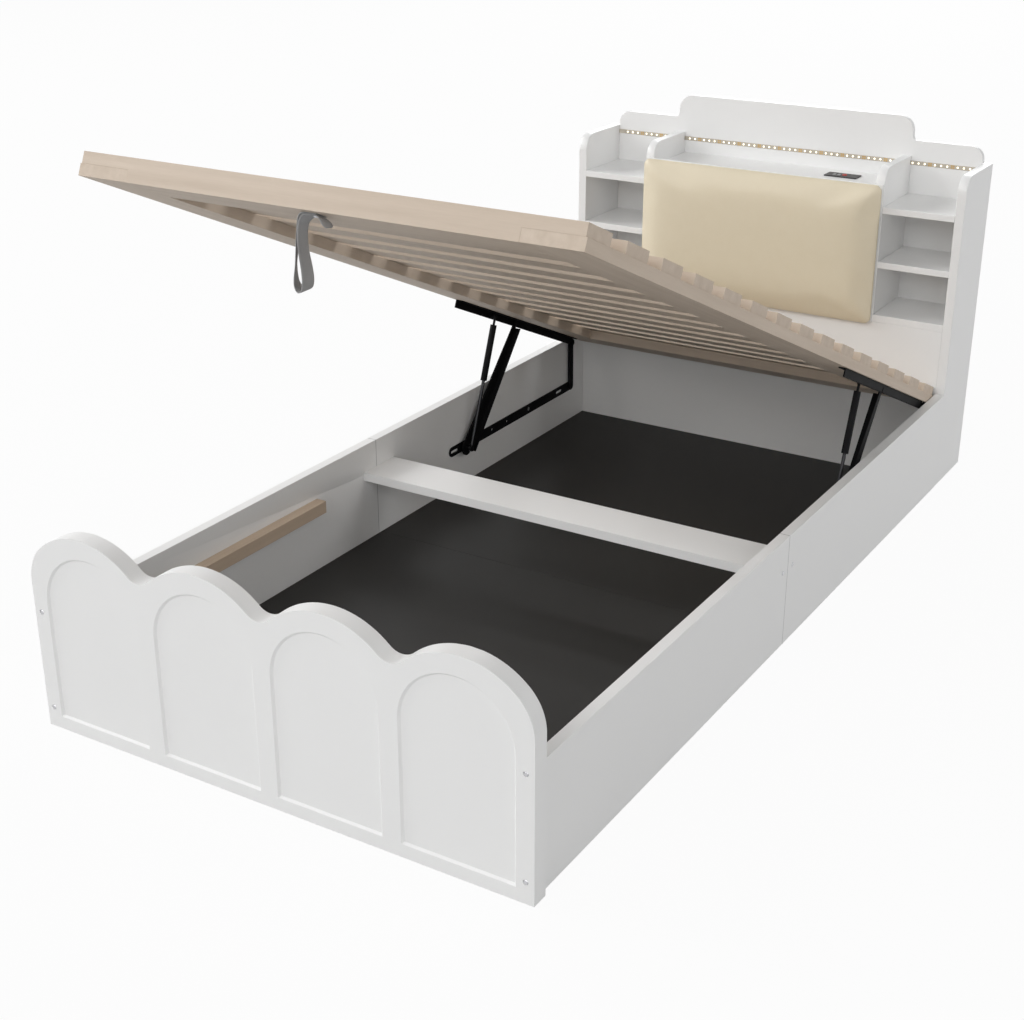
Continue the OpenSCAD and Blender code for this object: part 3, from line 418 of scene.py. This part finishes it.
PORT_STEEL = bare_metal("port_steel", (0.5, 0.51, 0.53, 1), 0.3, 0.0004)
COPPER_PAD = bare_metal("copper_pad", (0.66, 0.46, 0.22, 1), 0.45, 0.0006)
BLACK_PLASTIC = moulded("black_plastic", (0.022, 0.022, 0.023, 1), 0.45)
RED_PLASTIC = moulded("red_plastic", (0.55, 0.05, 0.035, 1), 0.3)
GREY_WEBBING = webbing("grey_webbing", (0.52, 0.52, 0.525, 1), (0.25, 0.25, 0.255, 1))
TAPE = strip_tape("strip_tape")
LAMP = lamp_glass("lit_lamp")

FINISHES = {
    "white_board": WHITE_LACQUER, "charcoal_board": CHARCOAL, "tan_wood": TAN_STRIP,
    "beige_wood": RAIL_TIMBER, "cream_leather": CREAM_HIDE, "lamp_strip": TAPE,
    "black_plastic": BLACK_PLASTIC, "port_metal": PORT_STEEL, "red_plastic": RED_PLASTIC,
    "black_steel": BLACK_COAT, "rod_steel": ROD_STEEL, "zinc": ZINC, "grey_webbing": GREY_WEBBING,
}
OWN_FINISH = {
    "side_panel_front_left": SIDE_LACQUER_WITH_PAINTED_SEAM_SHADOW, "side_panel_front_right": SIDE_LACQUER_WITH_PAINTED_SEAM_SHADOW,
    "side_panel_rear_left": SIDE_LACQUER_WITH_PAINTED_SEAM_SHADOW, "side_panel_rear_right": SIDE_LACQUER_WITH_PAINTED_SEAM_SHADOW,
    "slats": SLAT_TIMBER, "foot_rail": SLAT_TIMBER, "head_rail": SLAT_TIMBER,
    "gas_cylinder_left": SPRING_PAINT, "gas_cylinder_right": SPRING_PAINT,
}

# How far the edges of each kind of part are rounded over
EDGE_ROUNDING = {
    "white_board": 1.2*MM, "charcoal_board": 0.4*MM, "tan_wood": 0.8*MM, "beige_wood": 0.7*MM,
    "black_plastic": 0.6*MM, "red_plastic": 0.5*MM, "black_steel": 0.4*MM,
}


def soften_edges(obj, width):
    """Joins the split corners and flat faces of a CAD node and rounds its sharp edges."""
    weld = obj.modifiers.new("join_corners", "WELD")
    weld.merge_threshold = 0.00001
    flatten = obj.modifiers.new("join_flat_faces", "DECIMATE")
    flatten.decimate_type = "DISSOLVE"
    flatten.angle_limit = math.radians(0.2)
    bevel = obj.modifiers.new("round_edges", "BEVEL")
    bevel.width = width
    bevel.segments = 2
    bevel.limit_method = "ANGLE"
    bevel.angle_limit = math.radians(40)
    bevel.harden_normals = True


# The outer crowns of the footboard, from the part's source
CROWN_CREST = 410*MM
CROWN_MIDDLE = 397.5*MM
INNER_RADIUS = 165*MM
OUTER_RADIUS = 150*MM
CROWN_REACH = 40*MM
SHARP_EDGE = math.radians(35)


def trim_outer_crowns():
    """Takes the low bumps beside each outer crest down to the crown's own two arcs."""
    tree = bpy.data.node_groups.new("trim_crowns", "GeometryNodeTree")
    for way in ("INPUT", "OUTPUT"):
        tree.interface.new_socket("Geometry", in_out=way, socket_type="NodeSocketGeometry")
    s = Sheet(tree)
    where = s.add("ShaderNodeSeparateXYZ", Vector=s.add("GeometryNodeInputPosition").outputs[0])
    away = s.math("SUBTRACT", s.math("ABSOLUTE", where.outputs[0]), CROWN_MIDDLE)
    outside = s.math("GREATER_THAN", away, 0.0)
    radius = s.math("ADD", INNER_RADIUS, s.math("MULTIPLY", outside, OUTER_RADIUS - INNER_RADIUS))
    rise = s.math("SQRT", s.math("MAXIMUM", 0.0, s.math(
        "SUBTRACT", s.math("MULTIPLY", radius, radius), s.math("MULTIPLY", away, away))))
    arc = s.math("ADD", s.math("SUBTRACT", CROWN_CREST, radius), rise)
    lowered = s.add("ShaderNodeCombineXYZ", X=where.outputs[0], Y=where.outputs[1],
                    Z=s.math("MINIMUM", where.outputs[2], arc)).outputs[0]
    near = s.math("LESS_THAN", s.math("ABSOLUTE", away), CROWN_REACH)
    moved = s.add("GeometryNodeSetPosition", Geometry=tree.nodes.new("NodeGroupInput").outputs[0],
                  Selection=near, Position=lowered)
    angle = s.add("GeometryNodeInputMeshEdgeAngle").outputs[0]
    shaded = s.add("GeometryNodeSetMeshNormal", {"mode": "SHARPNESS"}, Mesh=moved.outputs[0])
    shaded.inputs["Remove Custom"].default_value = True
    s.put(shaded, "Edge Sharpness", s.math("GREATER_THAN", angle, SHARP_EDGE))
    s.put(tree.nodes.new("NodeGroupOutput"), "Geometry", shaded.outputs[0])
    CAD["footboard"].modifiers.new("trim_crowns", "NODES").node_group = tree


def finish_cad_nodes():
    trim_outer_crowns()
    for part in frame["record"]["subparts"]:
        obj = CAD[part["node"]]
        slot_name = part["material_slot"]
        obj.data.materials.clear()
        obj.data.materials.append(OWN_FINISH.get(part["node"], FINISHES[slot_name]))
        if slot_name in EDGE_ROUNDING:
            soften_edges(obj, EDGE_ROUNDING[slot_name])


def add_piece(name, bm, material, smooth=True):
    mesh = bpy.data.meshes.new(name)
    bm.to_mesh(mesh)
    bm.free()
    mesh.materials.append(material)
    for face in mesh.polygons:
        face.use_smooth = smooth
    obj = bpy.data.objects.new(name, mesh)
    bpy.context.scene.collection.objects.link(obj)
    return obj


# Padded panel

HELD_DEPTH = 3.5*MM
AIR_PRESSURE = 4.0
SWELL_LIMIT = 6*MM
SWELL_STEPS = 20
MESH_SIZE = 5.5*MM
SMOOTHING_ROUNDS = 45


def swell(obj, start):
    """Blows a closed mesh up as cloth, with its back held, and limits how far a point moves."""
    held_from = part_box("cushion")[1].y - HELD_DEPTH
    held = obj.vertex_groups.new(name="held_back")
    held.add([v.index for v in obj.data.vertices if v.co.y > held_from], 1.0, "REPLACE")
    cloth = obj.modifiers.new("hide", "CLOTH")
    settings = cloth.settings
    settings.vertex_group_mass = held.name
    settings.use_pressure = True
    settings.uniform_pressure_force = AIR_PRESSURE
    settings.effector_weights.gravity = 0
    settings.quality = 6
    settings.mass = 0.3
    settings.tension_stiffness = 25
    settings.compression_stiffness = 25
    settings.shear_stiffness = 15
    settings.bending_stiffness = 10.0
    cloth.collision_settings.use_collision = False
    cloth.point_cache.frame_start = 1
    cloth.point_cache.frame_end = SWELL_STEPS
    scene = bpy.context.scene
    for frame_number in range(1, SWELL_STEPS + 1):
        scene.frame_set(frame_number)
    shown = obj.evaluated_get(bpy.context.evaluated_depsgraph_get())
    moved = np.array([v.co for v in shown.data.vertices], float)
    obj.modifiers.remove(cloth)
    scene.frame_set(1)
    shift = moved - start
    length = np.linalg.norm(shift, axis=1, keepdims=True)
    return start + shift*np.minimum(1.0, SWELL_LIMIT/np.maximum(length, 1e-9))


def keep_outline(obj, low, high):
    """Widens the cover by what its smoothing takes off, so that it is as large as its solid."""
    shown = obj.evaluated_get(bpy.context.evaluated_depsgraph_get())
    smoothed = np.array([v.co for v in shown.data.vertices], float)
    points = np.array([v.co for v in obj.data.vertices], float)
    for axis in (0, 2):
        middle = (low[axis] + high[axis])/2
        share = (high[axis] - low[axis])/np.ptp(smoothed[:, axis])
        points[:, axis] = middle + (points[:, axis] - middle)*share
    obj.data.vertices.foreach_set("co", points.astype(np.float32).ravel())
    obj.data.update()


def remeshed_cushion():
    """A loose copy of the cushion's solid, in small even faces."""
    obj = CAD["cushion"].copy()
    obj.data = CAD["cushion"].data.copy()
    obj.name = "cushion_cover"
    obj.parent = None
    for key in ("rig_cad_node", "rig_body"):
        del obj[key]
    obj.modifiers.clear()
    bpy.context.scene.collection.objects.link(obj)
    obj.data.materials.clear()
    obj.data.materials.append(CREAM_HIDE)
    remesh = obj.modifiers.new("voxels", "REMESH")
    remesh.mode = "VOXEL"
    remesh.voxel_size = MESH_SIZE
    even = bpy.data.meshes.new_from_object(
        obj.evaluated_get(bpy.context.evaluated_depsgraph_get()))
    obj.modifiers.clear()
    obj.data = even
    for face in even.polygons:
        face.use_smooth = True
    return obj


def make_cushion():
    """Leather over foam on a board: the CAD form is remeshed, swollen and smoothed."""
    low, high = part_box("cushion")
    obj = remeshed_cushion()
    start = np.array([v.co for v in obj.data.vertices], float)
    points = swell(obj, start)
    points[:, 1] = np.clip(points[:, 1], low.y - SWELL_LIMIT, high.y)
    obj.data.vertices.foreach_set("co", points.astype(np.float32).ravel())
    obj.data.update()
    relax = obj.modifiers.new("relax", "SMOOTH")
    relax.factor = 0.5
    relax.iterations = SMOOTHING_ROUNDS
    keep_outline(obj, low, high)
    finer = obj.modifiers.new("finer", "SUBSURF")
    finer.levels = 1
    finer.render_levels = 1
    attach(obj, "bed_frame")
    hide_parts("cushion")
    return obj


# Pull strap: the stations of the part's source, turned a little more, in mm and degrees

STRAP_WIDTH = 30*MM
STRAP_THICKNESS = 1.6*MM
SELVEDGE_FULLNESS = 0.55
WOVEN_FULLNESS = 0.92
ACROSS_STEPS = 12
STEPS_PER_STATION = 8
STRAP_TOP = Vector((0, -874.52*MM, 988.97*MM))
UPPER_LAYER = 0.9
LOWER_LAYER = 2.8
STRAP_STATIONS = [
    (1, UPPER_LAYER, 90, 1), (-12, UPPER_LAYER, 90, 1), (-24, UPPER_LAYER + 0.35, 90, 1),
    (-33, 4.6, 91, 1), (-37.6, 11, 94, 1), (-40.6, 21, 98, 1), (-46.5, 37, 109, 1),
    (-52, 62, 118, 1), (-56, 86, 122, 1), (-58, 107, 116, 1), (-56.8, 120, 111, 1),
    (-52, 127.6, 105, 1), (-45.5, 130.6, 98, 1), (-38.6, 128.6, 91, 1),
    (-34.4, 121.6, 88, 1), (-33, 108, 88, 1), (-35, 88, 91, 1), (-39, 64, 94, 1),
    (-39.6, 40, 94, 1), (-36.8, 20, 92, 1), (-32.2, 10.4, 90, 1),
    (-25.4, LOWER_LAYER + 1.6, 90, 1), (-16, LOWER_LAYER + 0.1, 90, 1),
    (-5, LOWER_LAYER, 90, 1), (2, LOWER_LAYER + 1.2, 90, 1), (8, 9, 88, 1),
    (12.4, 15.5, 87, 0.86), (14.4, 19, 87, 0.5),
]


def smooth_route(stations, steps):
    """Catmull-Rom points through a list of stations."""
    points = np.array(stations, float)
    padded = np.vstack([points[:1], points, points[-1:]])
    route = []
    for i in range(len(points) - 1):
        a, b, c, d = padded[i:i + 4]
        for k in range(steps):
            t = k/steps
            route.append(0.5*(2*b + (c - a)*t + (2*a - 5*b + 4*c - d)*t*t
                              + (3*b - a - 3*c + d)*t**3))
    route.append(points[-1])
    return np.array(route)


def strap_across(depth, turn):
    """Direction of the ribbon's width, tilted with the rail at the top and level below."""
    tilt = LIFT_ANGLE*max(0.0, min(1.0, (30 - depth)/24))
    return Vector((math.cos(turn), math.sin(turn)*math.cos(tilt), -math.sin(turn)*math.sin(tilt)))


def ribbon_outline():
    """Points around the ribbon's cut end: shares of half its width, and heights."""
    half = STRAP_THICKNESS/2
    shares = np.linspace(-1, 1, ACROSS_STEPS + 1)
    return [(u, half) for u in shares] + [(u, -half) for u in reversed(shares)]


def ribbon_rings(bm, route, centres, outline):
    """A ring of points at each place of the route. The selvedges are thinner than the middle."""
    rings = []
    for i, (x, depth, turn, share) in enumerate(route):
        ahead = centres[min(i + 1, len(centres) - 1)] - centres[max(i - 1, 0)]
        across = strap_across(depth, math.radians(turn))
        normal = ahead.cross(across).normalized()
        ring = []
        for u, height in outline:
            fullness = SELVEDGE_FULLNESS if abs(u) > 0.999 else 1.0
            ring.append(bm.verts.new(centres[i] + across*(u*share*STRAP_WIDTH/2)
                                     + normal*height*fullness*WOVEN_FULLNESS))
        rings.append(ring)
    return rings


def join_rings(bm, rings, outline, lengths):
    """Faces between the rings, with metres across and along in their UVs, and two end caps."""
    uv_layer = bm.loops.layers.uv.new("ribbon")
    count = len(outline)
    for i in range(len(rings) - 1):
        for k in range(count):
            m = (k + 1) % count
            face = bm.faces.new((rings[i][k], rings[i][m], rings[i + 1][m], rings[i + 1][k]))
            for loop, (j, n) in zip(face.loops, ((i, k), (i, m), (i + 1, m), (i + 1, k))):
                loop[uv_layer].uv = (outline[n][0]*STRAP_WIDTH/2, lengths[j])
    bm.faces.new(rings[0])
    bm.faces.new(list(reversed(rings[-1])))
    bmesh.ops.recalc_face_normals(bm, faces=bm.faces)


def make_strap():
    """A woven ribbon with rounded selvedges, swept along the strap's stations."""
    route = smooth_route(STRAP_STATIONS, STEPS_PER_STATION)
    centres = [STRAP_TOP + Vector((x*MM, 0, -depth*MM)) for x, depth, turn, share in route]
    lengths = [0.0]
    for i in range(1, len(centres)):
        lengths.append(lengths[-1] + (centres[i] - centres[i - 1]).length)
    outline = ribbon_outline()
    bm = bmesh.new()
    rings = ribbon_rings(bm, route, centres, outline)
    join_rings(bm, rings, outline, lengths)
    strap = add_piece("strap_ribbon", bm, GREY_WEBBING)
    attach(strap, "platform")
    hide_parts("pull_strap")
    return strap


# Light strip

LAMP_PITCH = 57*MM
LAMP_SPACING = 15.4*MM
LAMP_GROUPS = 8
LENS_RADIUS = 2.5*MM
LENS_HEIGHT = 0.5*MM
LENS_PROFILE = [(1.0, 0.0), (0.96, 0.35), (0.8, 0.68), (0.5, 0.92), (0.0, 1.0)]
PAD_WIDTH = 4.6*MM
PAD_HEIGHT = 3.9*MM
PAD_THICKNESS = 0.12*MM
PAD_CORNER = 1.2*MM
TAPE_THICKNESS = 1.6*MM


def each_lamp_group():
    """Middle of each group of lamps, from left to right."""
    return [g*LAMP_PITCH for g in range(-LAMP_GROUPS, LAMP_GROUPS + 1)]


def hidden_by_partition(x, margin):
    low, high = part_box("partition_right")
    return low.x - margin < abs(x) < high.x + margin


def lens(bm, centre, steps=16):
    """A shallow round lens that faces the foot of the bed."""
    previous = None
    for share, rise in LENS_PROFILE:
        y = centre.y - rise*LENS_HEIGHT
        if share == 0:
            tip = bm.verts.new((centre.x, y, centre.z))
            for k in range(steps):
                bm.faces.new((previous[k], previous[(k + 1) % steps], tip))
            return
        radius = LENS_RADIUS*share
        ring = [bm.verts.new((centre.x + radius*math.cos(2*math.pi*k/steps), y,
                              centre.z + radius*math.sin(2*math.pi*k/steps)))
                for k in range(steps)]
        if previous:
            for k in range(steps):
                m = (k + 1) % steps
                bm.faces.new((previous[k], previous[m], ring[m], ring[k]))
        previous = ring


def make_lamp_lenses():
    low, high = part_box("light_strip")
    middle = (low.z + high.z)/2
    bm = bmesh.new()
    for x in each_lamp_group():
        for k in (-1, 0, 1):
            spot = x + k*LAMP_SPACING
            if not hidden_by_partition(spot, 5*MM):
                lens(bm, Vector((spot, low.y + 0.15*MM, middle)))
    bmesh.ops.recalc_face_normals(bm, faces=bm.faces)
    lenses = add_piece("lamp_lenses", bm, LAMP)
    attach(lenses, "bed_frame")
    return lenses


def solder_pad(bm, x, y, z, steps=4):
    """A thin plate with rounded corners that faces the foot of the bed."""
    points = []
    for quarter, (sx, sz) in enumerate(((1, 1), (-1, 1), (-1, -1), (1, -1))):
        for k in range(steps + 1):
            a = math.pi/2*(quarter + k/steps)
            points.append((x + sx*(PAD_WIDTH/2 - PAD_CORNER) + PAD_CORNER*math.cos(a),
                           z + sz*(PAD_HEIGHT/2 - PAD_CORNER) + PAD_CORNER*math.sin(a)))
    back = [bm.verts.new((px, y, pz)) for px, pz in points]
    front = [bm.verts.new((px, y - PAD_THICKNESS, pz)) for px, pz in points]
    bm.faces.new(front)
    bm.faces.new(list(reversed(back)))
    for k in range(len(points)):
        m = (k + 1) % len(points)
        bm.faces.new((back[k], back[m], front[m], front[k]))


def make_solder_pads():
    """Copper pads between the groups, where the strip may be cut."""
    low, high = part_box("light_strip")
    middle = (low.z + high.z)/2
    tape_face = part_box("back_panel")[0].y - TAPE_THICKNESS
    bm = bmesh.new()
    for x in each_lamp_group()[:-1]:
        spot = x + LAMP_PITCH/2
        if hidden_by_partition(spot, 6*MM):
            continue
        for side in (-1, 1):
            for height in (-1, 1):
                solder_pad(bm, spot + side*2.6*MM, tape_face, middle + height*2.3*MM)
    bmesh.ops.recalc_face_normals(bm, faces=bm.faces)
    pads = add_piece("solder_pads", bm, COPPER_PAD, smooth=False)
    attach(pads, "bed_frame")
    return pads


# Floor, light and camera


FLOOR_REACH = 30.0
FLOOR_DROP = 0.5*MM
FLOOR_GLOW = 0.95
SKY_LEVEL = 0.11
STUDIO_LAMP_DISTANCE = 14.0
STUDIO_LAMP_SIZE = 7.0
STUDIO_MIDDLE = Vector((0, 0, 0.4))


def make_floor():
    bm = bmesh.new()
    corners = [bm.verts.new((x*FLOOR_REACH, y*FLOOR_REACH, cad_low.z - FLOOR_DROP))
               for x, y in ((-1, -1), (1, -1), (1, 1), (-1, 1))]
    bm.faces.new(corners)
    material, s, shader = new_material("studio_floor", Base_Color=(0.6, 0.6, 0.6, 1),
                                       Roughness=0.9)
    glow = s.add("ShaderNodeEmission", Color=(1, 1, 1, 1), Strength=1.0)
    mixed = s.add("ShaderNodeMixShader")
    s.put(mixed, "0", s.math("MULTIPLY", sees_white(s), FLOOR_GLOW))
    s.put(mixed, "1", shader.outputs[0])
    s.put(mixed, "2", glow.outputs[0])
    s.put(s.tree.nodes["Material Output"], "Surface", mixed.outputs[0])
    floor = add_piece("studio_floor", bm, material, smooth=False)


def make_world():
    """White where the camera looks, and a dim even light for the bed."""
    world = bpy.data.worlds.new("studio")
    world.use_nodes = True
    bpy.context.scene.world = world
    s = Sheet(world.node_tree)
    background = s.tree.nodes["Background"]
    s.put(background, "Strength", s.spread(sees_white(s), SKY_LEVEL, 1.0))
    background.inputs["Color"].default_value = (1, 1, 1, 1)


def soft_lamp(name, around, height, level):
    """A square lamp far off, by degrees around from the foot end to the right, and by degrees
    of height. A white board that faces it shows the level."""
    toward = (Matrix.Rotation(math.radians(around), 3, "Z")
              @ Matrix.Rotation(math.radians(-height), 3, "X") @ Vector((0, -1, 0)))
    data = bpy.data.lights.new(name, "AREA")
    data.shape = "SQUARE"
    data.size = STUDIO_LAMP_SIZE
    data.energy = level*(math.pi*STUDIO_LAMP_DISTANCE)**2
    lamp = bpy.data.objects.new(name, data)
    lamp.location = STUDIO_MIDDLE + toward*STUDIO_LAMP_DISTANCE
    lamp.rotation_euler = toward.to_track_quat("Z", "Y").to_euler()
    bpy.context.scene.collection.objects.link(lamp)


def make_lights():
    make_world()
    soft_lamp("front_lamp", 0, 33, 0.31)
    soft_lamp("front_right_lamp", 45, 18, 0.14)
    soft_lamp("right_lamp", 110, 30, 0.22)
    soft_lamp("left_lamp", -80, 27, 0.56)
    soft_lamp("front_left_lamp", -45, 30, 0.14)
    soft_lamp("rear_lamp", -165, 25, 0.34)


def make_camera():
    """The photograph's viewpoint, worked out from the bed's straight edges."""
    data = bpy.data.cameras.new("camera")
    data.sensor_width = 36.0
    data.lens = 56.96
    camera = bpy.data.objects.new("camera", data)
    camera.location = (1.5891, -2.8835, 1.5901)
    camera.rotation_euler = [math.radians(a) for a in (66.379, 0.049, 31.536)]
    bpy.context.scene.collection.objects.link(camera)
    bpy.context.scene.camera = camera


finish_cad_nodes()
make_cushion()
make_strap()
make_lamp_lenses()
make_solder_pads()
make_floor()
make_lights()
make_camera()
bpy.context.scene.view_settings.view_transform = "Standard"
